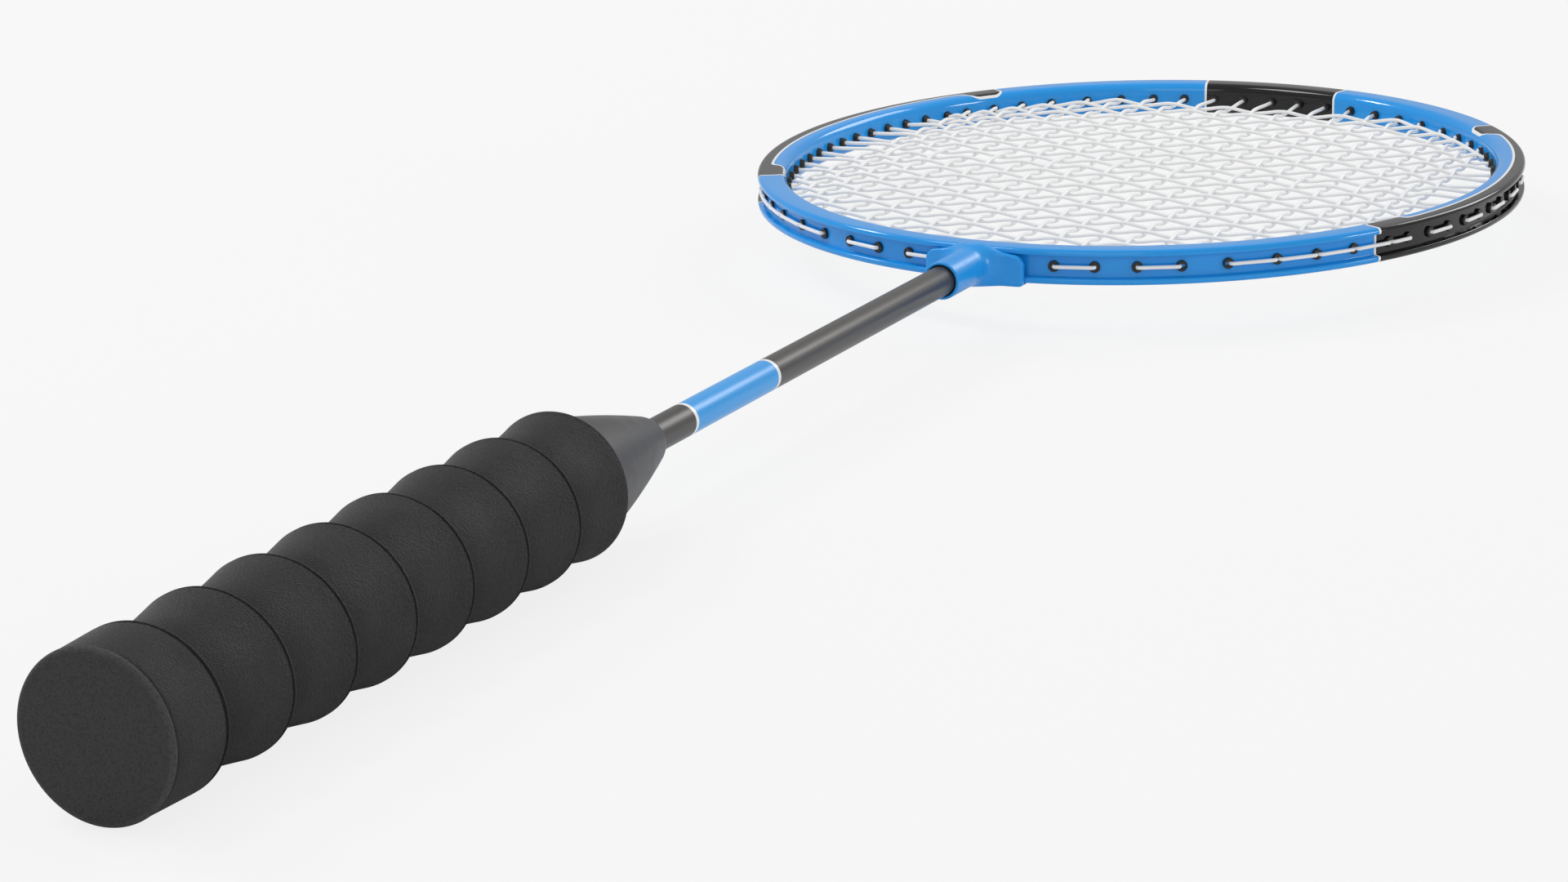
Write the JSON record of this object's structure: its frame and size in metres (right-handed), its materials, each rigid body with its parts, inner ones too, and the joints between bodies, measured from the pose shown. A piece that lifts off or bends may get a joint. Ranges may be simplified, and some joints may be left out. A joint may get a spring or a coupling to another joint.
{
  "type": "badminton racket",
  "caption": "Light racket with an oval grooved head frame, woven string bed, moulded T joint, thin round shaft, tapered cone and padded ribbed grip.",
  "frame": {"origin": "centre of the flat butt face at the end of the handle", "axes": "+Y along the shaft from the butt to the tip of the head, +X across the head, +Z square to the strings; the string bed lies in the XY plane"},
  "size_m": [0.227, 0.675, 0.0368],
  "materials": {
    "frame_blue": "gloss blue lacquer with black painted areas",
    "grommet_black": "satin moulded nylon",
    "string_white": "smooth nylon monofilament",
    "joint_blue": "gloss moulded",
    "shaft_grey": "satin dark grey lacquer with a blue band",
    "cone_grey": "satin moulded",
    "core_wood": "bare sanded wood",
    "grip_black": "grained, padded",
    "butt_grey": "fine grained"
  },
  "bodies": {
    "root": {"head_frame": "frame_blue", "tip_grommets": "grommet_black", "throat_grommets": "grommet_black", "left_grommets": "grommet_black", "right_grommets": "grommet_black", "main_strings": "string_white", "cross_strings": "string_white", "t_joint": "joint_blue", "shaft": "shaft_grey", "cone_cap": "cone_grey", "handle_core": "core_wood", "grip_wrap": "grip_black", "butt_cap": "butt_grey"}
  },
  "joints": []
}
